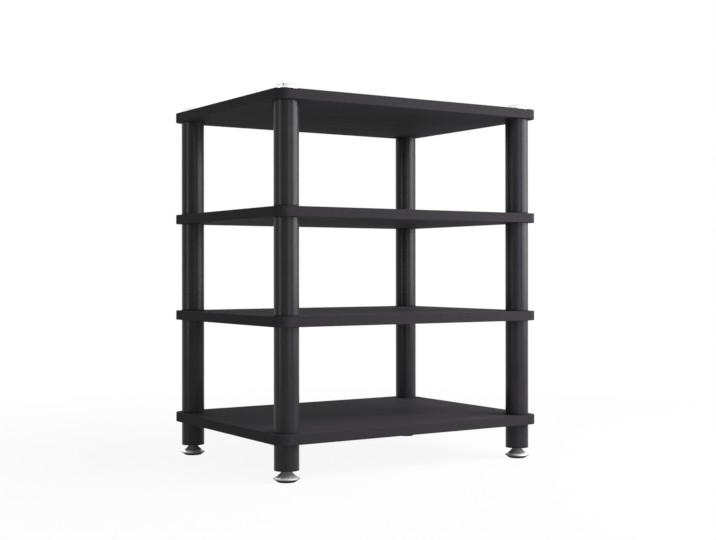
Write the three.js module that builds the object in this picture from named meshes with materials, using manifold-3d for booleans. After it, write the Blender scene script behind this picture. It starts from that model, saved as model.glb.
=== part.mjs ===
// Audio equipment rack: four shelves with rounded corners on four tube columns.
// In each column a tie rod draws cap, tubes, shelves and leg together, and a
// levelling foot screws into the leg from below.
// Millimetres, +Z up. The origin lies on the floor under the middle of the shelves,
// the front faces -Y, and the left side, seen from the front, is at -X.

import * as THREE from "three";
import { mergeVertices } from "three/addons/utils/BufferGeometryUtils.js";
import Module from "manifold-3d";

// Shelves
const shelfWidth = 600;
const shelfDepth = 460;
const shelfThickness = 19;
const shelfCornerRadius = 24;
const columnInset = 32; // from the two nearest shelf edges to a column's axis

// Clear heights, from the top down
const upperBayHeight = 191;
const middleBayHeight = 178.5;
const lowerBayHeight = 191;
const legHeight = 48; // underside of the bottom shelf to the lower end of the leg
const footHeight = 21; // lower end of the leg to the floor, foot screwed right in

// Column tubes
const tubeRadius = 23;
const tubeWall = 1.5;

// Connectors, which centre the tubes above and below a shelf
const spigotReach = 12; // into each tube
const rimHeight = 2; // the rim between a shelf and the tube that stands on it
const spigotClearance = 0.3; // round a spigot, in a tube and in a shelf hole

// Tie rod
const rodRadius = 4;
const rodClearance = 0.5; // round the rod where it only passes through
const threadClearance = 0.2; // round the rod and the spindle where they screw in
const rodEndGap = 2;
const rodCapGrip = 20; // thread held in the cap
const rodPlugGrip = 10; // thread held in the leg plug
const threadChamfer = 1;

// Top cap
const capRadius = 24;
const capRimHeight = 3;
const capHeight = 10.5;
const capFlatRadius = 15;
const slotWidth = 2.5;
const slotDepth = 5;
const slotAngle = THREE.MathUtils.degToRad(49);

// Leg plug
const plugHeadroom = 4; // between the leg plug and the spigot above it

// Levelling foot
const padRadius = 17; // where it stands on the floor
const padHeight = 5.4;
const padChamfer = 0.6;
const baseRadius = 24.2; // at the rim, the widest place of the saucer
const baseHeight = 4.15;
const baseOverhang = 0.6; // of the rim past the top of the pad
const baseRimHeight = 0.5;
const baseTopRadius = 17; // of the flat that the cone turns over
const crownRadiusShare = 0.72; // where the crown's bend lies, from the flat to the rim
const crownHeightShare = 0.8; // and from the rim up to the flat
const baseFloor = 1.5; // under the pivot hole
const pivotRadius = 3;
const pivotClearance = 0.15;
const swivelGap = 0.3; // between the base, which stays still, and what turns on it
const skirtOverhang = 0.2; // of the cone's skirt past the flat under it
const skirtHeight = 0.8;
const neckRadius = 10.3;
const neckHeight = 3.5;
const neckGap = 0.5; // between the cone's neck and the leg plug
const flareRadiusShare = 0.5; // where the flare's bend lies, from neck to skirt
const flareHeightShare = 0.45; // and from the skirt up to the neck

// Shared by all pieces
const seatGap = 0.05; // between faces that rest on each other
const cutOverrun = 2;
const roundSteps = 20;
const cornerSteps = 6;
const rodSteps = 12;
const domeSteps = 4;
const flareSteps = 4;

// Sizes that follow
const tubeBoreRadius = tubeRadius - tubeWall;
const spigotRadius = tubeBoreRadius - spigotClearance;
const shelfHoleRadius = spigotRadius + spigotClearance;
const columnX = shelfWidth / 2 - columnInset;
const columnY = shelfDepth / 2 - columnInset;
const threadBoreRadius = rodRadius + threadClearance;
const passBoreRadius = rodRadius + rodClearance;
const spigotBelowShelfTop = shelfThickness + spigotReach;
const plugLength = legHeight - spigotReach - plugHeadroom;
const spindleReach = plugLength - rodPlugGrip - rodEndGap;

// Heights above the floor
const bottomShelfTop = footHeight + legHeight + shelfThickness;
const lowerShelfTop = bottomShelfTop + lowerBayHeight + shelfThickness;
const upperShelfTop = lowerShelfTop + middleBayHeight + shelfThickness;
const topShelfTop = upperShelfTop + upperBayHeight + shelfThickness;
const baseBottom = padHeight + seatGap;
const baseTop = baseBottom + baseHeight;
const coneBottom = baseTop + swivelGap;

const finishes = {
  shelf: { color: 0x3a393c, roughness: 0.5, metalness: 0 },
  tube: { color: 0x2c2b2e, roughness: 0.35, metalness: 0.4 },
  polymer: { color: 0x1c1c1e, roughness: 0.6, metalness: 0 },
  steel: { color: 0x9a9b9e, roughness: 0.35, metalness: 1 },
  silver: { color: 0xd6d7da, roughness: 0.25, metalness: 1 },
  cone: { color: 0x55555a, roughness: 0.4, metalness: 0.6 },
  rubber: { color: 0x161616, roughness: 0.9, metalness: 0 },
};

const wasm = await Module();
wasm.setup();

// A closed geometry as a solid that can be joined and cut.
function solidOf(geometry) {
  const bare = geometry.clone();
  bare.deleteAttribute("normal");
  bare.deleteAttribute("uv");
  const merged = mergeVertices(bare);
  return new wasm.Manifold(
    new wasm.Mesh({
      numProp: 3,
      vertProperties: merged.attributes.position.array,
      triVerts: new Uint32Array(merged.index.array),
    }),
  );
}

function geometryOf(solid) {
  const mesh = solid.getMesh();
  const geometry = new THREE.BufferGeometry();
  geometry.setAttribute("position", new THREE.BufferAttribute(mesh.vertProperties, mesh.numProp));
  geometry.setIndex(new THREE.BufferAttribute(mesh.triVerts, 1));
  geometry.computeVertexNormals();
  return geometry;
}

// A solid turned about Z from an outline of [radius, height] points, which runs
// counterclockwise and starts and ends on the axis, or closes on itself.
function turned(outline, steps) {
  const points = outline.map(([radius, height]) => new THREE.Vector2(radius, height));
  const geometry = new THREE.LatheGeometry(points, steps);
  geometry.rotateX(Math.PI / 2);
  return geometry;
}

// Points on an arc of a circle or an ellipse, both ends included.
function arcPoints(centreX, centreY, radiusX, radiusY, start, end, steps) {
  const points = [];
  for (let i = 0; i <= steps; i += 1) {
    const angle = start + ((end - start) * i) / steps;
    points.push([centreX + radiusX * Math.cos(angle), centreY + radiusY * Math.sin(angle)]);
  }
  return points;
}

// Points on a bend from one [radius, height] point up and in to another.
function bendPoints(outer, inner, radiusShare, heightShare, steps) {
  const curve = new THREE.QuadraticBezierCurve(
    new THREE.Vector2(...outer),
    new THREE.Vector2(
      THREE.MathUtils.lerp(inner[0], outer[0], radiusShare),
      THREE.MathUtils.lerp(outer[1], inner[1], heightShare),
    ),
    new THREE.Vector2(...inner),
  );
  return curve.getPoints(steps).map((point) => [point.x, point.y]);
}

function pathOf(points, Kind) {
  return new Kind().setFromPoints(points.map(([x, y]) => new THREE.Vector2(x, y)));
}

// A board with rounded corners and a hole for each column, its top at height zero.
function shelfGeometry() {
  const quarter = Math.PI / 2;
  const centreX = shelfWidth / 2 - shelfCornerRadius;
  const centreY = shelfDepth / 2 - shelfCornerRadius;
  const corners = [
    [centreX, centreY],
    [-centreX, centreY],
    [-centreX, -centreY],
    [centreX, -centreY],
  ];
  const outline = corners.flatMap(([x, y], i) =>
    arcPoints(
      x,
      y,
      shelfCornerRadius,
      shelfCornerRadius,
      i * quarter,
      (i + 1) * quarter,
      cornerSteps,
    ),
  );
  const shape = pathOf(outline, THREE.Shape);
  for (const { x, y } of columns) {
    const ring = arcPoints(x, y, shelfHoleRadius, shelfHoleRadius, 0, 2 * Math.PI, roundSteps);
    ring.pop();
    shape.holes.push(pathOf(ring, THREE.Path));
  }
  const geometry = new THREE.ExtrudeGeometry(shape, {
    depth: shelfThickness,
    bevelEnabled: false,
  });
  geometry.translate(0, 0, -shelfThickness);
  return geometry;
}

// A length of tube that stands on height zero.
function tubeGeometry(length) {
  return turned(
    [
      [tubeBoreRadius, 0],
      [tubeRadius, 0],
      [tubeRadius, length],
      [tubeBoreRadius, length],
      [tubeBoreRadius, 0],
    ],
    roundSteps,
  );
}

// A rim that lies on a shelf, with a spigot down through the shelf into the tube
// below and one up into the tube above. Height zero is the rim's underside.
function connectorGeometry() {
  const lowerEnd = -(seatGap + spigotBelowShelfTop);
  const upperEnd = rimHeight + spigotReach;
  return turned(
    [
      [passBoreRadius, lowerEnd],
      [spigotRadius, lowerEnd],
      [spigotRadius, 0],
      [tubeRadius, 0],
      [tubeRadius, rimHeight],
      [spigotRadius, rimHeight],
      [spigotRadius, upperEnd],
      [passBoreRadius, upperEnd],
      [passBoreRadius, lowerEnd],
    ],
    roundSteps,
  );
}

// A low dome with a slot for a coin, and a threaded spigot down through the top
// shelf into the tube below. Height zero is the face that lies on the shelf.
function capGeometry() {
  const spigotEnd = -(seatGap + spigotBelowShelfTop);
  const threadEnd = spigotEnd + rodCapGrip + rodEndGap;
  const dome = arcPoints(
    capFlatRadius,
    capRimHeight,
    capRadius - capFlatRadius,
    capHeight - capRimHeight,
    0,
    Math.PI / 2,
    domeSteps,
  );
  const body = turned(
    [
      [0, threadEnd],
      [threadBoreRadius, threadEnd],
      [threadBoreRadius, spigotEnd],
      [spigotRadius, spigotEnd],
      [spigotRadius, 0],
      [capRadius, 0],
      ...dome,
      [0, capHeight],
    ],
    roundSteps,
  );
  const slotLength = 2 * (capRadius + cutOverrun);
  const slot = new THREE.BoxGeometry(slotLength, slotWidth, slotDepth + cutOverrun);
  slot.translate(0, 0, capHeight + (cutOverrun - slotDepth) / 2);
  return geometryOf(solidOf(body).subtract(solidOf(slot)));
}

// A threaded rod with chamfered ends that stands on height zero.
function rodGeometry(length) {
  return turned(
    [
      [0, 0],
      [rodRadius - threadChamfer, 0],
      [rodRadius, threadChamfer],
      [rodRadius, length - threadChamfer],
      [rodRadius - threadChamfer, length],
      [0, length],
    ],
    rodSteps,
  );
}

// A plug that carries the leg tube on its rim and takes the tie rod from above and
// the foot's spindle from below. Height zero is the rim's underside.
function legPlugGeometry() {
  return turned(
    [
      [threadBoreRadius, 0],
      [tubeRadius, 0],
      [tubeRadius, rimHeight],
      [spigotRadius, rimHeight],
      [spigotRadius, plugLength],
      [threadBoreRadius, plugLength],
      [threadBoreRadius, 0],
    ],
    roundSteps,
  );
}

// The foot's screw: a thin pivot that turns in the base, then the threaded shank.
// Height zero is the cone's underside.
function spindleGeometry() {
  const pivotEnd = -(baseHeight - baseFloor);
  const shankEnd = footHeight + spindleReach - coneBottom;
  return turned(
    [
      [0, pivotEnd],
      [pivotRadius, pivotEnd],
      [pivotRadius, 0],
      [rodRadius, 0],
      [rodRadius, shankEnd - threadChamfer],
      [rodRadius - threadChamfer, shankEnd],
      [0, shankEnd],
    ],
    rodSteps,
  );
}

// The flared cone that is gripped to turn the foot. Height zero is its underside.
function coneGeometry() {
  const skirtRadius = baseTopRadius + skirtOverhang;
  const top = footHeight - neckGap - coneBottom;
  const flare = bendPoints(
    [skirtRadius, skirtHeight],
    [neckRadius, top - neckHeight],
    flareRadiusShare,
    flareHeightShare,
    flareSteps,
  );
  return turned(
    [
      [threadBoreRadius, 0],
      [skirtRadius, 0],
      ...flare,
      [neckRadius, top],
      [threadBoreRadius, top],
      [threadBoreRadius, 0],
    ],
    roundSteps,
  );
}

// The foot's bright base, a flat-bottomed saucer with a crowned top and the pivot
// hole in it. Height zero is its underside.
function baseGeometry() {
  const holeRadius = pivotRadius + pivotClearance;
  const crown = bendPoints(
    [baseRadius, baseRimHeight],
    [baseTopRadius, baseHeight],
    crownRadiusShare,
    crownHeightShare,
    domeSteps,
  );
  return turned(
    [
      [0, 0],
      [baseRadius, 0],
      ...crown,
      [holeRadius, baseHeight],
      [holeRadius, baseFloor],
      [0, baseFloor],
    ],
    roundSteps,
  );
}

// The soft dish that stands on the floor and flares up to the saucer's rim.
function padGeometry() {
  return turned(
    [
      [0, 0],
      [padRadius - padChamfer, 0],
      [padRadius, padChamfer],
      [baseRadius - baseOverhang, padHeight],
      [0, padHeight],
    ],
    roundSteps,
  );
}

function addPiece(parent, name, geometry, finish, height) {
  const mesh = new THREE.Mesh(geometry, new THREE.MeshStandardMaterial(finish));
  mesh.name = name;
  mesh.position.z = height;
  parent.add(mesh);
  return mesh;
}

const columns = [
  { place: "front_left", x: -columnX, y: -columnY },
  { place: "front_right", x: columnX, y: -columnY },
  { place: "back_left", x: -columnX, y: columnY },
  { place: "back_right", x: columnX, y: columnY },
];

// Each bay's tube and the connector under it, by the shelf that they stand on.
const bays = [
  { tube: "upper", connector: "upper", shelfTop: upperShelfTop, height: upperBayHeight },
  { tube: "middle", connector: "lower", shelfTop: lowerShelfTop, height: middleBayHeight },
  { tube: "lower", connector: "bottom", shelfTop: bottomShelfTop, height: lowerBayHeight },
];

const shelves = [
  { name: "shelf_top", top: topShelfTop },
  { name: "shelf_upper", top: upperShelfTop },
  { name: "shelf_lower", top: lowerShelfTop },
  { name: "shelf_bottom", top: bottomShelfTop },
];

// One column with everything in it, from its cap down to its foot's pad.
function columnGroup({ place, x, y }) {
  const group = new THREE.Group();
  group.position.set(x, y, 0);

  const capSeat = topShelfTop + seatGap;
  const cap = addPiece(group, `top_cap_${place}`, capGeometry(), finishes.silver, capSeat);
  cap.rotation.z = Math.sign(x) * Math.sign(y) * slotAngle;

  for (const { tube, connector, shelfTop, height } of bays) {
    const rimSeat = shelfTop + seatGap;
    const tubeSeat = rimSeat + rimHeight + seatGap;
    const tubeLength = shelfTop + height - seatGap - tubeSeat;
    addPiece(group, `tube_${tube}_${place}`, tubeGeometry(tubeLength), finishes.tube, tubeSeat);
    addPiece(
      group,
      `connector_${connector}_${place}`,
      connectorGeometry(),
      finishes.polymer,
      rimSeat,
    );
  }

  const legSeat = footHeight + rimHeight + seatGap;
  const legLength = footHeight + legHeight - seatGap - legSeat;
  addPiece(group, `leg_tube_${place}`, tubeGeometry(legLength), finishes.tube, legSeat);
  addPiece(group, `leg_plug_${place}`, legPlugGeometry(), finishes.polymer, footHeight);

  const rodStart = footHeight + plugLength - rodPlugGrip;
  const rodEnd = topShelfTop - spigotBelowShelfTop + rodCapGrip;
  addPiece(group, `tie_rod_${place}`, rodGeometry(rodEnd - rodStart), finishes.steel, rodStart);

  addPiece(group, `foot_spindle_${place}`, spindleGeometry(), finishes.steel, coneBottom);
  addPiece(group, `foot_cone_${place}`, coneGeometry(), finishes.cone, coneBottom);
  addPiece(group, `foot_base_${place}`, baseGeometry(), finishes.silver, baseBottom);
  addPiece(group, `foot_pad_${place}`, padGeometry(), finishes.rubber, 0);
  return group;
}

const rack = new THREE.Group();
for (const { name, top } of shelves) {
  addPiece(rack, name, shelfGeometry(), finishes.shelf, top);
}
for (const column of columns) {
  rack.add(columnGroup(column));
}

export default rack;
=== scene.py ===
import math

import bmesh
import bpy
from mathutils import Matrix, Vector


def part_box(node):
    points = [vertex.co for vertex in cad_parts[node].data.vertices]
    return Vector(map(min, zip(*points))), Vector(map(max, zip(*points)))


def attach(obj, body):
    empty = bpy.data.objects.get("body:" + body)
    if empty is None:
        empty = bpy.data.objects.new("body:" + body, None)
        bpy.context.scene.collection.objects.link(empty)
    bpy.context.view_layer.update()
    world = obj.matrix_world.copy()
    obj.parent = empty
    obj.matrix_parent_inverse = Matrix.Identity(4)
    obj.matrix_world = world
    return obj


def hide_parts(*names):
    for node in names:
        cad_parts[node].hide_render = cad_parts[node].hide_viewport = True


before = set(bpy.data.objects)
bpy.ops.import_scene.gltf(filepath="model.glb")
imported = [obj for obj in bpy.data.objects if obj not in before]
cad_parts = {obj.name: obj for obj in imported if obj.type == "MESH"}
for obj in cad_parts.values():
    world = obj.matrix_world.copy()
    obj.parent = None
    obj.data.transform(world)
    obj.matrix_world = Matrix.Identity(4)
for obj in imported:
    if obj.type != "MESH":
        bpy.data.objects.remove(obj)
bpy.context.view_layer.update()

places = ["front_left", "front_right", "back_left", "back_right"]
print("rack frame loaded:", len(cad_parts), "nodes")


# Small helpers for modelling

modelling = {
    "smoothAngle": 32,  # degrees, an edge that turns by less is shaded smooth
    "ringWeld": 0.000002,
    "flatNormal": 0.99,  # a face lies flat when its normal is this upright
}


def deselectAll():
    bpy.ops.object.select_all(action="DESELECT")


def selectOnly(piece):
    deselectAll()
    piece.select_set(True)
    bpy.context.view_layer.objects.active = piece


def camelName(node):
    words = node.split("_")
    return words[0] + "".join(word.capitalize() for word in words[1:])


def middleOf(node):
    low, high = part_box(node)
    return (low + high) / 2


def radiusOf(node):
    low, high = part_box(node)
    return (high.x - low.x) / 2


def bakePlace(piece):
    selectOnly(piece)
    bpy.ops.object.transform_apply(location=True, rotation=True, scale=True)


def applyModifier(piece, kind, **values):
    modifier = piece.modifiers.new(kind.lower(), kind)
    for name, value in values.items():
        setattr(modifier, name, value)
    bpy.context.view_layer.objects.active = piece
    bpy.ops.object.modifier_apply(modifier=modifier.name)


def pickFaces(piece, wanted):
    bpy.ops.mesh.select_all(action="DESELECT")
    mesh = bmesh.from_edit_mesh(piece.data)
    for face in mesh.faces:
        if wanted(face):
            face.select_set(True)
    bmesh.update_edit_mesh(piece.data)


def pickEdges(piece, wanted):
    bpy.ops.mesh.select_all(action="DESELECT")
    mesh = bmesh.from_edit_mesh(piece.data)
    for edge in mesh.edges:
        if wanted(*edge.verts):
            edge.select_set(True)
    bmesh.update_edit_mesh(piece.data)


# Softens the edges that turn by more than so many degrees
def roundEdges(piece, width, segments, angle):
    applyModifier(
        piece,
        "BEVEL",
        width=width,
        segments=segments,
        limit_method="ANGLE",
        angle_limit=math.radians(angle),
    )


# Takes a cutter's shape out of a piece, then the cutter out of the scene
def cutAway(piece, cutter, **values):
    applyModifier(
        piece, "BOOLEAN", operation="DIFFERENCE", object=cutter, solver="EXACT", **values
    )
    selectOnly(cutter)
    bpy.ops.object.delete()


def smoothPiece(piece):
    selectOnly(piece)
    bpy.ops.object.shade_smooth_by_angle(angle=math.radians(modelling["smoothAngle"]))
    applyModifier(piece, "WEIGHTED_NORMAL", keep_sharp=True)


# A turned piece: one ring, pulled out and scaled from point to point of its outline.
# A closed outline ends where it starts, and an open one gets a face over each end.
def turnPiece(centre, outline, segments, closed=False):
    deselectAll()
    radius, height = outline[0]
    bpy.ops.mesh.primitive_circle_add(
        vertices=segments, radius=radius, location=(centre.x, centre.y, height)
    )
    piece = bpy.context.object
    bakePlace(piece)
    bpy.ops.object.mode_set(mode="EDIT")
    bpy.ops.mesh.select_mode(type="EDGE")
    bpy.ops.mesh.select_all(action="SELECT")
    for nextRadius, nextHeight in outline[1:]:
        bpy.ops.mesh.extrude_edges_move(
            TRANSFORM_OT_translate={"value": (0, 0, nextHeight - height)}
        )
        grow = nextRadius / radius
        bpy.ops.transform.resize(
            value=(grow, grow, 1), center_override=(centre.x, centre.y, nextHeight)
        )
        radius, height = nextRadius, nextHeight
    if closed:
        bpy.ops.mesh.select_all(action="SELECT")
        bpy.ops.mesh.remove_doubles(threshold=modelling["ringWeld"])
    else:
        bpy.ops.mesh.edge_face_add()
        bpy.ops.mesh.select_all(action="DESELECT")
        bpy.ops.mesh.select_non_manifold()
        bpy.ops.mesh.edge_face_add()
    bpy.ops.mesh.select_all(action="SELECT")
    bpy.ops.mesh.normals_make_consistent(inside=False)
    bpy.ops.object.mode_set(mode="OBJECT")
    return piece


# Outline points of a rim with softened edges, from its underside up
def rimPoints(radius, low, high, lip):
    return [(radius - lip, low), (radius, low + lip), (radius, high - lip), (radius - lip, high)]


# Outline points on a bend from one (radius, height) point up and in to another
def bendPoints(outer, inner, bend):
    bendRadius = inner[0] + (outer[0] - inner[0]) * bend["radiusShare"]
    bendHeight = outer[1] + (inner[1] - outer[1]) * bend["heightShare"]
    points = []
    for i in range(bend["steps"] + 1):
        t = i / bend["steps"]
        points.append(
            (
                outer[0] * (1 - t) ** 2 + 2 * bendRadius * t * (1 - t) + inner[0] * t**2,
                outer[1] * (1 - t) ** 2 + 2 * bendHeight * t * (1 - t) + inner[1] * t**2,
            )
        )
    return points


def copyPiece(piece, offset):
    selectOnly(piece)
    bpy.ops.object.duplicate(linked=False)
    double = bpy.context.object
    double.location = offset
    bakePlace(double)
    return double


# Names a finished piece after its node and lets it stand for that node
def seatPiece(piece, node, body):
    piece.name = camelName(node)
    piece.data.name = piece.name
    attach(piece, body)
    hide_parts(node)


# The front left piece is modelled, the other three columns get copies of it.
# A {} in the body's name is filled with the column's place.
def seatInColumns(piece, stem, body):
    first = middleOf(f"{stem}_{places[0]}")
    doubles = [piece]
    for place in places[1:]:
        doubles.append(copyPiece(piece, middleOf(f"{stem}_{place}") - first))
    for place, double in zip(places, doubles):
        seatPiece(double, f"{stem}_{place}", body.format(place))


# Small helpers for materials

noiseSpan = (0.25, 0.75)  # nearly all values of a noise lie between these


def startMaterial(name):
    material = bpy.data.materials.new(name)
    material.use_nodes = True
    tree = material.node_tree
    return material, tree, tree.nodes["Principled BSDF"]


def addNode(tree, kind, **values):
    node = tree.nodes.new(kind)
    for name, value in values.items():
        setattr(node, name, value)
    return node


def join(tree, output, target):
    tree.links.new(output, target)


def objectPlace(tree):
    return addNode(tree, "ShaderNodeTexCoord").outputs["Object"]


def vectorMath(tree, operation, vector, constant=(0, 0, 0)):
    step = addNode(tree, "ShaderNodeVectorMath", operation=operation)
    join(tree, vector, step.inputs[0])
    step.inputs[1].default_value = constant
    return step.outputs["Value" if operation == "LENGTH" else "Vector"]


def numberMath(tree, operation, first, second):
    step = addNode(tree, "ShaderNodeMath", operation=operation)
    join(tree, first, step.inputs[0])
    join(tree, second, step.inputs[1])
    return step.outputs["Value"]


# Object coordinates, squeezed by the pattern's x, y and z scale, into a noise
def noiseFrom(tree, pattern):
    mapping = addNode(tree, "ShaderNodeMapping")
    mapping.inputs["Scale"].default_value = pattern["scale"]
    join(tree, objectPlace(tree), mapping.inputs["Vector"])
    noise = addNode(tree, "ShaderNodeTexNoise")
    noise.inputs["Scale"].default_value = 1
    noise.inputs["Detail"].default_value = pattern["detail"]
    noise.inputs["Roughness"].default_value = pattern["roughness"]
    join(tree, mapping.outputs["Vector"], noise.inputs["Vector"])
    return noise.outputs["Fac"]


# Distance from the nearest column's axis, for marks left by turning
def turnedDistance(tree):
    centre = middleOf("top_cap_front_left")
    folded = vectorMath(tree, "ABSOLUTE", objectPlace(tree))
    moved = vectorMath(tree, "SUBTRACT", folded, (abs(centre.x), abs(centre.y), 0))
    flat = vectorMath(tree, "MULTIPLY", moved, (1, 1, 0))
    return vectorMath(tree, "LENGTH", flat)


def ringsFrom(tree, pattern):
    marks = addNode(tree, "ShaderNodeTexNoise", noise_dimensions="1D")
    marks.inputs["Scale"].default_value = pattern["scale"]
    marks.inputs["Detail"].default_value = pattern["detail"]
    join(tree, turnedDistance(tree), marks.inputs["W"])
    return marks.outputs["Fac"]


# The finish's dark and light colours, with its two stops on the factor
def colourFrom(tree, factor, values):
    ramp = addNode(tree, "ShaderNodeValToRGB")
    colours = (values["dark"], values["light"])
    for element, stop, colour in zip(ramp.color_ramp.elements, values["stops"], colours):
        element.position = stop
        element.color = (*colour, 1)
    join(tree, factor, ramp.inputs["Fac"])
    return ramp.outputs["Color"]


def rangeFrom(tree, factor, fromSpan, toSpan):
    remap = addNode(tree, "ShaderNodeMapRange")
    names = ("From Min", "From Max", "To Min", "To Max")
    for name, limit in zip(names, (*fromSpan, *toSpan)):
        remap.inputs[name].default_value = limit
    join(tree, factor, remap.inputs["Value"])
    return remap.outputs["Result"]


def bumpFrom(tree, height, pattern, below=None):
    bump = addNode(tree, "ShaderNodeBump")
    bump.inputs["Strength"].default_value = pattern["bump"]
    bump.inputs["Distance"].default_value = pattern["depth"]
    join(tree, height, bump.inputs["Height"])
    if below:
        join(tree, below, bump.inputs["Normal"])
    return bump.outputs["Normal"]


def roughenFrom(tree, factor, values, shader):
    roughness = rangeFrom(tree, factor, noiseSpan, values["roughness"])
    join(tree, roughness, shader.inputs["Roughness"])


# One pattern that gives a finish its colour, its roughness and its relief
def finishFrom(tree, factor, values, pattern, shader):
    join(tree, colourFrom(tree, factor, values), shader.inputs["Base Color"])
    roughenFrom(tree, factor, values, shader)
    join(tree, bumpFrom(tree, factor, pattern), shader.inputs["Normal"])


# Materials: lengths in metres, a pattern's scale in cells for each metre

laminateFinish = {
    "dark": (0.028, 0.0258, 0.0290),
    "light": (0.044, 0.0407, 0.0452),
    "stops": (0.32, 0.68),
    "roughness": (0.66, 0.8),
    "gloss": 0.022,
    "grain": {
        "scale": (9, 120, 120),
        "detail": 6,
        "roughness": 0.62,
        "bump": 0.15,
        "depth": 0.00005,
    },
    "pores": {
        "scale": (60, 1400, 1400),
        "detail": 3,
        "roughness": 0.55,
        "bump": 0.35,
        "depth": 0.00005,
    },
}


def makeLaminate():
    values = laminateFinish
    material, tree, shader = startMaterial("charcoalLaminate")
    grain = noiseFrom(tree, values["grain"])
    pores = noiseFrom(tree, values["pores"])
    join(tree, colourFrom(tree, grain, values), shader.inputs["Base Color"])
    roughenFrom(tree, pores, values, shader)
    fine = bumpFrom(tree, pores, values["pores"])
    join(tree, bumpFrom(tree, grain, values["grain"], fine), shader.inputs["Normal"])
    shader.inputs["Specular IOR Level"].default_value = values["gloss"]
    return material


bandFinish = {
    "dark": (0.0240, 0.0225, 0.0244),
    "light": (0.0330, 0.0309, 0.0335),
    "stops": (0.3, 0.7),
    "roughness": (0.48, 0.56),
    "gloss": 0.012,
    "specks": {
        "scale": (70, 70, 900),
        "detail": 4,
        "roughness": 0.6,
        "bump": 0.2,
        "depth": 0.00004,
    },
}


def makeEdgeBand():
    values = bandFinish
    material, tree, shader = startMaterial("charcoalEdgeBand")
    specks = noiseFrom(tree, values["specks"])
    finishFrom(tree, specks, values, values["specks"], shader)
    shader.inputs["Specular IOR Level"].default_value = values["gloss"]
    return material


paintFinish = {
    "dark": (0.0150, 0.0136, 0.0154),
    "light": (0.0205, 0.0187, 0.0211),
    "stops": (0.3, 0.7),
    "roughness": (0.27, 0.33),
    "gloss": 0.12,
    "lacquer": 0.05,
    "lacquerRoughness": 0.16,
    "clouds": {
        "scale": (22, 22, 22),
        "detail": 3,
        "roughness": 0.5,
    },
    "peel": {
        "scale": (520, 520, 520),
        "detail": 2,
        "roughness": 0.45,
        "bump": 0.3,
        "depth": 0.00006,
    },
    "grain": {
        "scale": (3200, 3200, 3200),
        "detail": 2,
        "roughness": 0.6,
        "bump": 0.12,
        "depth": 0.00002,
    },
}


def makeTubePaint():
    values = paintFinish
    material, tree, shader = startMaterial("satinBlackPaint")
    clouds = noiseFrom(tree, values["clouds"])
    peel = noiseFrom(tree, values["peel"])
    grain = noiseFrom(tree, values["grain"])
    join(tree, colourFrom(tree, clouds, values), shader.inputs["Base Color"])
    roughenFrom(tree, clouds, values, shader)
    fine = bumpFrom(tree, grain, values["grain"])
    join(tree, bumpFrom(tree, peel, values["peel"], fine), shader.inputs["Normal"])
    shader.inputs["Specular IOR Level"].default_value = values["gloss"]
    shader.inputs["Coat Weight"].default_value = values["lacquer"]
    shader.inputs["Coat Roughness"].default_value = values["lacquerRoughness"]
    return material


polymerFinish = {
    "dark": (0.009, 0.009, 0.010),
    "light": (0.016, 0.016, 0.017),
    "stops": (0.3, 0.7),
    "roughness": (0.52, 0.66),
    "gloss": 0.1,
    "grain": {
        "scale": (1900, 1900, 1900),
        "detail": 3,
        "roughness": 0.6,
        "bump": 0.3,
        "depth": 0.00008,
    },
}


def makePolymer():
    values = polymerFinish
    material, tree, shader = startMaterial("mouldedBlack")
    grain = noiseFrom(tree, values["grain"])
    finishFrom(tree, grain, values, values["grain"], shader)
    shader.inputs["Specular IOR Level"].default_value = values["gloss"]
    return material


silverFinish = {
    "dark": (0.74, 0.74, 0.75),
    "light": (0.86, 0.86, 0.87),
    "stops": (0.3, 0.7),
    "roughness": (0.20, 0.32),
    "rings": {
        "scale": 2600,
        "detail": 4,
        "bump": 0.25,
        "depth": 0.00003,
    },
}


def makeCapSilver():
    values = silverFinish
    material, tree, shader = startMaterial("turnedSilver")
    rings = ringsFrom(tree, values["rings"])
    finishFrom(tree, rings, values, values["rings"], shader)
    shader.inputs["Metallic"].default_value = 1
    return material


shadedSawnFinish = {
    # painted shade: dark colours that stand in for the shade inside the slot
    "dark": (0.17, 0.167, 0.173),
    "light": (0.27, 0.267, 0.273),
    "stops": (0.3, 0.7),
    "roughness": (0.48, 0.62),
    "strokes": {
        "scale": (40, 40, 4200),
        "detail": 3,
        "roughness": 0.6,
        "bump": 0.4,
        "depth": 0.00006,
    },
}


# The floor and walls of the cap's slot, left as the saw cut them, their colour kept dark as painted shade
# inside the slot
def makeShadedSawnSilver():
    values = shadedSawnFinish
    material, tree, shader = startMaterial("shadedSawnSilver")
    strokes = noiseFrom(tree, values["strokes"])
    finishFrom(tree, strokes, values, values["strokes"], shader)
    shader.inputs["Metallic"].default_value = 1
    return material


chromeFinish = {
    "dark": (0.90, 0.90, 0.91),
    "light": (0.96, 0.96, 0.965),
    "stops": (0.3, 0.7),
    "roughness": (0.46, 0.54),
    "haze": {
        "scale": (160, 160, 160),
        "detail": 4,
        "roughness": 0.6,
    },
    "rings": {
        "scale": 3400,
        "detail": 3,
        "bump": 0.2,
        "depth": 0.000015,
    },
    # painted shade: the rim's colour is darkened to stand in for a dark reflection
    "paintedRimShade": (0.25, 0.25, 0.26),
    "shadeBandWidth": 0.0007,
    "shadeBandFade": 0.0008,
}


# Satin chrome, its colour darkened round the saucer's rim as a painted dark reflection
def makeBaseChrome():
    values = chromeFinish
    material, tree, shader = startMaterial("satinChrome")
    haze = noiseFrom(tree, values["haze"])
    rings = ringsFrom(tree, values["rings"])
    # painted shade: the colour is multiplied by the rim shade towards the saucer's rim
    shade = addNode(tree, "ShaderNodeMixRGB", blend_type="MULTIPLY")
    shade.inputs["Color2"].default_value = (*values["paintedRimShade"], 1)
    join(tree, shadeBandShare(tree), shade.inputs["Fac"])
    join(tree, colourFrom(tree, haze, values), shade.inputs["Color1"])
    join(tree, shade.outputs["Color"], shader.inputs["Base Color"])
    roughenFrom(tree, haze, values, shader)
    join(tree, bumpFrom(tree, rings, values["rings"]), shader.inputs["Normal"])
    shader.inputs["Metallic"].default_value = 1
    return material
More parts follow.
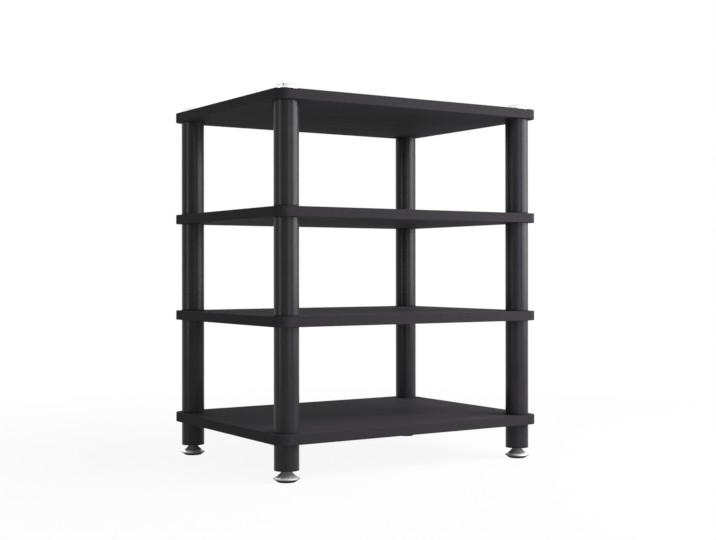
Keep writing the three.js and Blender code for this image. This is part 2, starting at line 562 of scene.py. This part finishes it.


# Share of the painted rim shade: none on the saucer, all on its rim, with a short fade between
def shadeBandShare(tree):
    values = chromeFinish
    shadeBandStart = radiusOf("foot_base_front_left") - values["shadeBandWidth"]
    return rangeFrom(tree, turnedDistance(tree), (shadeBandStart - values["shadeBandFade"], shadeBandStart), (0, 1))


coneFinish = {
    "dark": (0.145, 0.142, 0.149),
    "light": (0.195, 0.191, 0.200),
    "stops": (0.3, 0.7),
    "roughness": (0.44, 0.54),
    "gloss": 0.12,
    "cast": {
        "scale": (420, 420, 420),
        "detail": 4,
        "roughness": 0.55,
        "bump": 0.15,
        "depth": 0.00005,
    },
    "rings": {
        "scale": 1500,
        "detail": 2,
        "bump": 0.12,
        "depth": 0.00005,
    },
}


def makeConeGrey():
    values = coneFinish
    material, tree, shader = startMaterial("darkGreyMetal")
    cast = noiseFrom(tree, values["cast"])
    rings = ringsFrom(tree, values["rings"])
    join(tree, colourFrom(tree, cast, values), shader.inputs["Base Color"])
    roughenFrom(tree, cast, values, shader)
    fine = bumpFrom(tree, rings, values["rings"])
    join(tree, bumpFrom(tree, cast, values["cast"], fine), shader.inputs["Normal"])
    shader.inputs["Specular IOR Level"].default_value = values["gloss"]
    return material


rubberFinish = {
    "dark": (0.010, 0.010, 0.010),
    "light": (0.022, 0.022, 0.022),
    "stops": (0.35, 0.7),
    "roughness": (0.72, 0.9),
    "gloss": 0.1,
    "grain": {
        "scale": (1300, 1300, 1300),
        "detail": 4,
        "roughness": 0.65,
        "bump": 0.35,
        "depth": 0.0001,
    },
}


def makePadRubber():
    values = rubberFinish
    material, tree, shader = startMaterial("blackRubber")
    grain = noiseFrom(tree, values["grain"])
    finishFrom(tree, grain, values, values["grain"], shader)
    shader.inputs["Specular IOR Level"].default_value = values["gloss"]
    return material


zincFinish = {
    "dark": (0.28, 0.285, 0.295),
    "light": (0.44, 0.44, 0.45),
    "stops": (0.3, 0.7),
    "roughness": (0.30, 0.48),
    "spangle": {
        "scale": (500, 500, 500),
        "detail": 5,
        "roughness": 0.6,
        "bump": 0.2,
        "depth": 0.00005,
    },
}


def makeRodZinc():
    values = zincFinish
    material, tree, shader = startMaterial("dullZinc")
    spangle = noiseFrom(tree, values["spangle"])
    finishFrom(tree, spangle, values, values["spangle"], shader)
    shader.inputs["Metallic"].default_value = 1
    return material


charcoalLaminate = makeLaminate()
charcoalEdgeBand = makeEdgeBand()
satinBlackPaint = makeTubePaint()
mouldedBlack = makePolymer()
turnedSilver = makeCapSilver()
shadedSawnSilver = makeShadedSawnSilver()
satinChrome = makeBaseChrome()
darkGreyMetal = makeConeGrey()
blackRubber = makePadRubber()
dullZinc = makeRodZinc()
print("materials ready")


# Shelves: a board with rounded corners, softened arrises and a glued edge band

shelfBoard = {
    "cornerRadius": 0.024,
    "cornerSegments": 14,
    "arris": 0.0008,
    "arrisSegments": 3,
    "bandWidth": 0.0006,
    "seamWidth": 0.00015,
    "seamDepth": 0.00012,
    "holeRadius": 0.0215,
    "holeSegments": 64,
    "drillPast": 0.0095,  # how far the drill stands out of each face
}


def makeShelf(node):
    values = shelfBoard
    low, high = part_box(node)
    size = high - low
    deselectAll()
    bpy.ops.mesh.primitive_cube_add(size=1, location=(low + high) / 2, scale=size)
    board = bpy.context.object
    bakePlace(board)
    board.data.materials.append(charcoalLaminate)
    board.data.materials.append(charcoalEdgeBand)
    bpy.ops.object.mode_set(mode="EDIT")
    bpy.ops.mesh.select_mode(type="EDGE")
    pickEdges(board, lambda a, b: abs(a.co.z - b.co.z) > size.z / 2)  # the four corners
    bpy.ops.mesh.bevel(
        offset=values["cornerRadius"], segments=values["cornerSegments"], affect="EDGES"
    )
    pickEdges(board, lambda a, b: abs(a.co.z - b.co.z) < size.z / 2)  # all round the two faces
    bpy.ops.mesh.bevel(offset=values["arris"], segments=values["arrisSegments"], affect="EDGES")
    bandEdges(board)
    bpy.ops.object.mode_set(mode="OBJECT")
    drillBoard(board, low, high)
    smoothPiece(board)
    return board


# The edge band goes round all but the two faces, and a fine seam is sunk beside it
def bandEdges(board):
    values = shelfBoard
    bpy.ops.mesh.select_mode(type="FACE")
    pickFaces(board, lambda face: abs(face.normal.z) > modelling["flatNormal"])
    bpy.ops.mesh.inset(thickness=values["bandWidth"])
    bpy.ops.mesh.select_all(action="INVERT")
    board.active_material_index = 1  # the band's slot
    bpy.ops.object.material_slot_assign()
    bpy.ops.mesh.select_all(action="INVERT")
    bpy.ops.mesh.inset(thickness=values["seamWidth"], depth=-values["seamDepth"])
    bpy.ops.mesh.inset(thickness=values["seamWidth"], depth=values["seamDepth"])


# The round holes that the column connectors go through
def drillBoard(board, low, high):
    values = shelfBoard
    deselectAll()
    drills = []
    for place in places:
        centre = middleOf(f"top_cap_{place}")
        bpy.ops.mesh.primitive_cylinder_add(
            vertices=values["holeSegments"],
            radius=values["holeRadius"],
            depth=high.z - low.z + values["drillPast"] * 2,
            location=(centre.x, centre.y, (low.z + high.z) / 2),
        )
        drills.append(bpy.context.object)
    for drill in drills:
        drill.select_set(True)
    bpy.ops.object.join()
    cutAway(board, bpy.context.object)


topShelf = makeShelf("shelf_top")
for node in ("shelf_upper", "shelf_lower", "shelf_bottom"):
    drop = middleOf(node) - middleOf("shelf_top")
    seatPiece(copyPiece(topShelf, drop), node, "frame")
seatPiece(topShelf, "shelf_top", "frame")
print("shelves ready")


# Column tubes: drawn tube with a wall and slightly rounded ends

columnTube = {
    "segments": 96,
    "wall": 0.0015,
    "endRound": 0.0004,
    "endSegments": 3,
    "endAngle": 50,
}


def makeTube(stem):
    values = columnTube
    node = f"{stem}_front_left"
    low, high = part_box(node)
    deselectAll()
    bpy.ops.mesh.primitive_cylinder_add(
        vertices=values["segments"],
        radius=radiusOf(node),
        depth=high.z - low.z,
        end_fill_type="NOTHING",
        location=(low + high) / 2,
    )
    tube = bpy.context.object
    bakePlace(tube)
    tube.data.materials.append(satinBlackPaint)
    applyModifier(tube, "SOLIDIFY", thickness=values["wall"], offset=-1)
    roundEdges(tube, values["endRound"], values["endSegments"], values["endAngle"])
    smoothPiece(tube)
    return tube


for stem in ("tube_upper", "tube_middle", "tube_lower", "leg_tube"):
    seatInColumns(makeTube(stem), stem, "frame")
print("column tubes ready")


# Connectors: a rim on the shelf, and spigots that centre the tubes above and below

connector = {
    "segments": 96,
    "boreRadius": 0.0045,
    "spigotRadius": 0.0212,
    "rimRadius": 0.023,
    "rimHeight": 0.002,
    "rimRound": 0.0003,
    "leadIn": 0.001,
    "seatGap": 0.00005,
}


def makeConnector(stem, shelf):
    values = connector
    node = f"{stem}_front_left"
    low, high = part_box(node)
    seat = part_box(shelf)[1].z + values["seatGap"]
    top = seat + values["rimHeight"]
    bore = values["boreRadius"]
    spigot = values["spigotRadius"]
    lead = values["leadIn"]
    outline = [
        (bore, low.z),
        (spigot - lead, low.z),
        (spigot, low.z + lead),
        (spigot, seat),
        *rimPoints(values["rimRadius"], seat, top, values["rimRound"]),
        (spigot, top),
        (spigot, high.z - lead),
        (spigot - lead, high.z),
        (bore, high.z),
        (bore, low.z),
    ]
    piece = turnPiece(middleOf(node), outline, values["segments"], closed=True)
    piece.data.materials.append(mouldedBlack)
    smoothPiece(piece)
    return piece


for level in ("upper", "lower", "bottom"):
    stem = f"connector_{level}"
    seatInColumns(makeConnector(stem, f"shelf_{level}"), stem, "frame")
print("connectors ready")


# Leg plugs: rim under the leg tube, plug inside it, shallow relief round the thread

legPlug = {
    "segments": 96,
    "boreRadius": 0.0042,
    "bossRadius": 0.0075,
    "reliefRadius": 0.0185,
    "reliefDepth": 0.0008,
    "reliefSlope": 0.0003,
    "rimRadius": 0.023,
    "rimHeight": 0.002,
    "rimRound": 0.0003,
    "plugRadius": 0.0212,
    "leadIn": 0.001,
}


def makeLegPlug():
    values = legPlug
    low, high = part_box("leg_plug_front_left")
    deep = low.z + values["reliefDepth"]
    top = low.z + values["rimHeight"]
    bore = values["boreRadius"]
    plug = values["plugRadius"]
    lead = values["leadIn"]
    outline = [
        (bore, low.z),
        (values["bossRadius"], low.z),
        (values["bossRadius"] + values["reliefSlope"], deep),
        (values["reliefRadius"] - values["reliefSlope"], deep),
        (values["reliefRadius"], low.z),
        *rimPoints(values["rimRadius"], low.z, top, values["rimRound"]),
        (plug, top),
        (plug, high.z - lead),
        (plug - lead, high.z),
        (bore, high.z),
        (bore, low.z),
    ]
    piece = turnPiece(middleOf("leg_plug_front_left"), outline, values["segments"], closed=True)
    piece.data.materials.append(mouldedBlack)
    smoothPiece(piece)
    return piece


seatInColumns(makeLegPlug(), "leg_plug", "frame")
print("leg plugs ready")


# Top caps: a low turned dome with a slot for a coin, its spigot in the shelf

topCap = {
    "segments": 96,
    "rimHeight": 0.003,
    "rimRound": 0.0003,
    "flatRadius": 0.015,
    "domeSteps": 16,
    "spigotRadius": 0.0212,
    "threadRadius": 0.0042,
    "threadDepth": 0.022,
    "slotWidth": 0.0025,
    "slotDepth": 0.005,
    "slotAngle": 49,  # degrees
    "slotRound": 0.00025,
    "slotSegments": 2,
    "slotEdgeAngle": 48,
    "sawLength": 0.06,
    "sliver": 0.00001,
}


def makeCap():
    values = topCap
    low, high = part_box("top_cap_front_left")
    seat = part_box("shelf_top")[1].z + connector["seatGap"]
    radius = radiusOf("top_cap_front_left")
    lip = values["rimRound"]
    rise = high.z - seat - values["rimHeight"]
    run = radius - values["flatRadius"]
    outline = [
        (values["threadRadius"], low.z + values["threadDepth"]),
        (values["threadRadius"], low.z),
        (values["spigotRadius"], low.z),
        (values["spigotRadius"], seat),
        (radius - lip, seat),
        (radius, seat + lip),
    ]
    for i in range(values["domeSteps"] + 1):
        turn = math.pi / 2 * i / values["domeSteps"]
        outline.append(
            (
                values["flatRadius"] + run * math.cos(turn),
                seat + values["rimHeight"] + rise * math.sin(turn),
            )
        )
    cap = turnPiece(middleOf("top_cap_front_left"), outline, values["segments"])
    cap.data.materials.append(turnedSilver)
    return cap


# Each slot's angle is the mirror image of those on the two columns next to it
def slotCap(cap, node):
    values = topCap
    low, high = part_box(node)
    centre = (low + high) / 2
    angle = values["slotAngle"] * math.copysign(1, centre.x * centre.y)
    deselectAll()
    bpy.ops.mesh.primitive_cube_add(
        size=1,
        location=(centre.x, centre.y, high.z),
        rotation=(0, 0, math.radians(angle)),
        scale=(values["sawLength"], values["slotWidth"], values["slotDepth"] * 2),
    )
    cutter = bpy.context.object  # its lower half is in the cap
    cutter.data.materials.append(shadedSawnSilver)
    cutAway(cap, cutter, material_mode="TRANSFER")
    roundEdges(cap, values["slotRound"], values["slotSegments"], values["slotEdgeAngle"])
    bpy.ops.object.mode_set(mode="EDIT")
    bpy.ops.mesh.select_all(action="SELECT")
    bpy.ops.mesh.dissolve_degenerate(threshold=values["sliver"])
    bpy.ops.object.mode_set(mode="OBJECT")
    smoothPiece(cap)


firstCap = makeCap()
caps = [firstCap]
for place in places[1:]:
    shift = middleOf(f"top_cap_{place}") - middleOf("top_cap_front_left")
    shift.z = 0
    caps.append(copyPiece(firstCap, shift))
for place, cap in zip(places, caps):
    slotCap(cap, f"top_cap_{place}")
    seatPiece(cap, f"top_cap_{place}", "frame")
print("top caps ready")


# Levelling feet: threaded spindle, flared cone, bright saucer, rubber pad under it

spindle = {
    "pitch": 0.00125,
    "crestRadius": 0.004,
    "rootRadius": 0.0034,
    "crestShare": 0.22,
    "threadSteps": 32,
    "seamWeld": 0.000005,
    "turnWeld": 0.00001,
    "pivotRadius": 0.003,
    "pivotRound": 0.0004,
    "pivotSegments": 32,
}


# The thread starts a turn below the shank, so that its end can be cut off level
def makeSpindle():
    values = spindle
    low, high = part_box("foot_spindle_front_left")
    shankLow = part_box("foot_cone_front_left")[0].z
    centre = (low + high) / 2
    start = shankLow - values["pitch"]
    screw = makeThreadProfile(centre, start)
    sweepThread(screw, centre, math.ceil((high.z - start) / values["pitch"]) + 1)
    trimThread(screw, centre, shankLow, high.z)
    pivot = turnPiece(
        centre,
        [
            (values["pivotRadius"] - values["pivotRound"], low.z),
            (values["pivotRadius"], low.z + values["pivotRound"]),
            (values["pivotRadius"], shankLow + values["pitch"]),
        ],
        values["pivotSegments"],
    )
    selectOnly(screw)
    pivot.select_set(True)
    bpy.ops.object.join()
    screw.data.materials.append(dullZinc)
    smoothPiece(screw)
    return screw


# One pitch of the thread: a plane's outline, open at the root and narrowed at the crest
def makeThreadProfile(centre, start):
    values = spindle
    pitch = values["pitch"]
    depth = values["crestRadius"] - values["rootRadius"]
    deselectAll()
    bpy.ops.mesh.primitive_plane_add(
        size=1,
        location=(centre.x + values["rootRadius"] + depth / 2, centre.y, start + pitch / 2),
        rotation=(math.radians(90), 0, 0),
    )
    profile = bpy.context.object
    profile.scale = (depth, pitch, 1)
    bpy.ops.object.transform_apply(location=False, rotation=True, scale=True)
    bpy.ops.object.mode_set(mode="EDIT")
    bpy.ops.mesh.select_mode(type="EDGE")
    bpy.ops.mesh.select_all(action="SELECT")
    bpy.ops.mesh.delete(type="ONLY_FACE")
    pickEdges(profile, lambda a, b: a.co.x < 0 and b.co.x < 0)  # the edge nearest the axis
    bpy.ops.mesh.delete(type="EDGE")
    pickEdges(profile, lambda a, b: a.co.x > 0 and b.co.x > 0)  # the crest
    bpy.ops.transform.resize(
        value=(1, 1, values["crestShare"]),
        center_override=(centre.x + values["crestRadius"], centre.y, start + pitch / 2),
    )
    bpy.ops.object.mode_set(mode="OBJECT")
    return profile


# Sweeps the profile up round the axis, by one pitch for each turn
def sweepThread(screw, centre, turns):
    values = spindle
    selectOnly(screw)
    bpy.context.scene.cursor.location = (centre.x, centre.y, 0)
    bpy.ops.object.origin_set(type="ORIGIN_CURSOR")
    bpy.context.scene.cursor.location = (0, 0, 0)
    applyModifier(
        screw,
        "SCREW",
        axis="Z",
        angle=math.radians(360),
        screw_offset=values["pitch"],
        iterations=turns,
        steps=values["threadSteps"],
        render_steps=values["threadSteps"],
        use_merge_vertices=True,
        merge_threshold=values["seamWeld"],
    )
    bakePlace(screw)


# Welds each turn to the next, then cuts both ends level and fills them
def trimThread(screw, centre, bottom, top):
    selectOnly(screw)
    bpy.ops.object.mode_set(mode="EDIT")
    bpy.ops.mesh.select_mode(type="VERT")
    bpy.ops.mesh.select_all(action="SELECT")
    bpy.ops.mesh.remove_doubles(threshold=spindle["turnWeld"])
    for height, side in ((bottom, -1), (top, 1)):
        bpy.ops.mesh.select_all(action="SELECT")
        bpy.ops.mesh.bisect(
            plane_co=(centre.x, centre.y, height),
            plane_no=(0, 0, side),
            use_fill=True,
            clear_outer=True,
        )
    bpy.ops.mesh.select_all(action="SELECT")
    bpy.ops.mesh.normals_make_consistent(inside=False)
    bpy.ops.object.mode_set(mode="OBJECT")


seatInColumns(makeSpindle(), "foot_spindle", "screw_{}")


footCone = {
    "segments": 80,
    "boreRadius": 0.0042,
    "skirtHeight": 0.0008,
    "skirtRound": 0.0002,
    "neckRadius": 0.0103,
    "neckHeight": 0.0035,
    "neckRound": 0.0004,
    "flare": {"radiusShare": 0.5, "heightShare": 0.45, "steps": 16},
}


# A straight neck under the leg plug, a flare down from it and a short upright skirt
def makeCone():
    values = footCone
    low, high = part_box("foot_cone_front_left")
    skirt = radiusOf("foot_cone_front_left")
    neck = values["neckRadius"]
    outline = [
        (values["boreRadius"], low.z),
        (skirt - values["skirtRound"], low.z),
        (skirt, low.z + values["skirtRound"]),
        *bendPoints(
            (skirt, low.z + values["skirtHeight"]),
            (neck, high.z - values["neckHeight"]),
            values["flare"],
        ),
        (neck, high.z - values["neckRound"]),
        (neck - values["neckRound"], high.z),
        (values["boreRadius"], high.z),
        (values["boreRadius"], low.z),
    ]
    cone = turnPiece(middleOf("foot_cone_front_left"), outline, values["segments"], closed=True)
    cone.data.materials.append(darkGreyMetal)
    smoothPiece(cone)
    return cone


seatInColumns(makeCone(), "foot_cone", "screw_{}")


footBase = {
    "segments": 96,
    "rimHeight": 0.0005,
    "topRadius": 0.017,
    "crown": {"radiusShare": 0.72, "heightShare": 0.8, "steps": 16},
    "holeRadius": 0.00315,
    "floor": 0.0015,
    "edgeRound": 0.00015,
    "edgeSegments": 3,
    "edgeAngle": 40,
}


# A saucer with a thin rim, its top crowned in to the flat under the cone
def makeBase():
    values = footBase
    low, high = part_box("foot_base_front_left")
    radius = radiusOf("foot_base_front_left")
    outline = [
        (radius, low.z),
        *bendPoints(
            (radius, low.z + values["rimHeight"]),
            (values["topRadius"], high.z),
            values["crown"],
        ),
        (values["holeRadius"], high.z),
        (values["holeRadius"], low.z + values["floor"]),
    ]
    base = turnPiece(middleOf("foot_base_front_left"), outline, values["segments"])
    base.data.materials.append(satinChrome)
    roundEdges(base, values["edgeRound"], values["edgeSegments"], values["edgeAngle"])
    smoothPiece(base)
    return base


seatInColumns(makeBase(), "foot_base", "base_{}")


footPad = {
    "segments": 80,
    "coreRadius": 0.0025,
    "floorRadius": 0.017,
    "chamfer": 0.0006,
    "topRound": 0.0002,
    "grooveRadii": (0.005, 0.009, 0.013),
    "grooveWidth": 0.0016,
    "grooveDepth": 0.0005,
    "grooveSlope": 0.0002,
}


# A pad that flares up to its rim, with rings moulded in its underside
def makePad():
    values = footPad
    low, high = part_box("foot_pad_front_left")
    radius = radiusOf("foot_pad_front_left")
    slope = values["grooveSlope"]
    outline = [(values["coreRadius"], low.z)]
    for groove in values["grooveRadii"]:
        inner = groove - values["grooveWidth"] / 2
        outer = groove + values["grooveWidth"] / 2
        outline += [
            (inner, low.z),
            (inner + slope, low.z + values["grooveDepth"]),
            (outer - slope, low.z + values["grooveDepth"]),
            (outer, low.z),
        ]
    outline += [
        (values["floorRadius"] - values["chamfer"], low.z),
        (values["floorRadius"], low.z + values["chamfer"]),
        (radius, high.z - values["topRound"]),
        (radius - values["topRound"], high.z),
    ]
    pad = turnPiece(middleOf("foot_pad_front_left"), outline, values["segments"])
    pad.data.materials.append(blackRubber)
    smoothPiece(pad)
    return pad


seatInColumns(makePad(), "foot_pad", "base_{}")
print("levelling feet ready")


# Tie rods keep their own shape and get the zinc finish

for place in places:
    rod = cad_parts[f"tie_rod_{place}"]
    rod.data.materials.clear()
    rod.data.materials.append(dullZinc)
print("tie rods ready")


# Floor, light and camera

floorDisc = {
    "radius": 6.0,
    "segments": 96,
    "height": -0.0002,
    "colour": (0.68, 0.68, 0.68, 1),
    "roughness": 0.9,
    "gloss": 0.1,
    "whiteShare": 0.92,
    "fadeStart": 0.5,
    "fadeEnd": 1.6,
}


def makeFloor():
    values = floorDisc
    deselectAll()
    bpy.ops.mesh.primitive_circle_add(
        vertices=values["segments"],
        radius=values["radius"],
        fill_type="NGON",
        location=(0, 0, values["height"]),
    )
    floor = bpy.context.object
    floor.name = "studioFloor"
    bakePlace(floor)
    floor.data.materials.append(makePaleFloor())


# Nearly white to the rays that see it, and all white away from the rack
def makePaleFloor():
    values = floorDisc
    material, tree, shader = startMaterial("paleFloor")
    shader.inputs["Base Color"].default_value = values["colour"]
    shader.inputs["Roughness"].default_value = values["roughness"]
    shader.inputs["Specular IOR Level"].default_value = values["gloss"]
    distance = vectorMath(tree, "LENGTH", objectPlace(tree))
    fadeSpan = (values["fadeStart"], values["fadeEnd"])
    fade = rangeFrom(tree, distance, fadeSpan, (values["whiteShare"], 1))
    share = numberMath(tree, "MULTIPLY", fade, seenRays(tree))
    white = addNode(tree, "ShaderNodeEmission")
    mix = addNode(tree, "ShaderNodeMixShader")
    join(tree, share, mix.inputs["Fac"])
    join(tree, shader.outputs["BSDF"], mix.inputs[1])
    join(tree, white.outputs["Emission"], mix.inputs[2])
    join(tree, mix.outputs["Shader"], tree.nodes["Material Output"].inputs["Surface"])
    return material


# One for rays from the camera, off a glossy piece or through a clear one, otherwise none
def seenRays(tree):
    path = addNode(tree, "ShaderNodeLightPath")
    total = path.outputs["Is Camera Ray"]
    for name in ("Is Glossy Ray", "Is Transmission Ray"):
        total = numberMath(tree, "MAXIMUM", total, path.outputs[name])
    return total


studio = {
    "fill": 0.12,
    "panels": {
        "rightPanel": {"place": (1.3, -1.1, 1.0), "aim": (0, 0, 0.6), "size": (1.7, 1.5), "power": 62},
        "leftPanel": {"place": (-2.9, -0.18, 0.65), "aim": (0, 0, 0.5), "size": (0.9, 1.3), "power": 16},
        "frontPanel": {"place": (0.5, -1.3, 1.75), "aim": (0, -0.2, 0.7), "size": (1.0, 0.6), "power": 14},
        "lowPanel": {"place": (-0.3, -2.7, 0.6), "aim": (0, 0, 0.4), "size": (1.1, 1.2), "power": 12},
        "backPanel": {"place": (-0.5, 2.6, 1.9), "aim": (0, 0, 0.4), "size": (1.0, 1.0), "power": 14},
    },
}


# White to the rays that see it, and a low even fill to all others
def makeWorld():
    world = bpy.data.worlds.new("studioWorld")
    world.use_nodes = True
    bpy.context.scene.world = world
    tree = world.node_tree
    fill = tree.nodes["Background"]
    fill.inputs["Color"].default_value = (1, 1, 1, 1)
    strength = rangeFrom(tree, seenRays(tree), (0, 1), (studio["fill"], 1))
    join(tree, strength, fill.inputs["Strength"])


def makePanel(name, values):
    deselectAll()
    bpy.ops.object.light_add(type="AREA", location=values["place"])
    lamp = bpy.context.object
    lamp.name = name
    lamp.data.shape = "RECTANGLE"
    lamp.data.size, lamp.data.size_y = values["size"]
    lamp.data.energy = values["power"]
    sight = Vector(values["aim"]) - Vector(values["place"])
    lamp.rotation_euler = sight.to_track_quat("-Z", "Y").to_euler()


photoCamera = {
    "place": (-1.34915, -2.13233, 0.37992),
    "turn": (90.03, 0.063, -32.537),  # degrees
    "sensorWidth": 36,  # millimetres
    "focalPixels": 1228.6,
    "widthPixels": 716,
}


def makeCamera():
    values = photoCamera
    bpy.ops.object.camera_add(location=values["place"])
    camera = bpy.context.object
    camera.name = "photoCamera"
    camera.rotation_euler = [math.radians(angle) for angle in values["turn"]]
    camera.data.sensor_width = values["sensorWidth"]
    camera.data.lens = values["sensorWidth"] * values["focalPixels"] / values["widthPixels"]
    bpy.context.scene.camera = camera


makeFloor()
makeWorld()
for name, panel in studio["panels"].items():
    makePanel(name, panel)
makeCamera()
bpy.context.scene.view_settings.view_transform = "Standard"
print("studio ready")
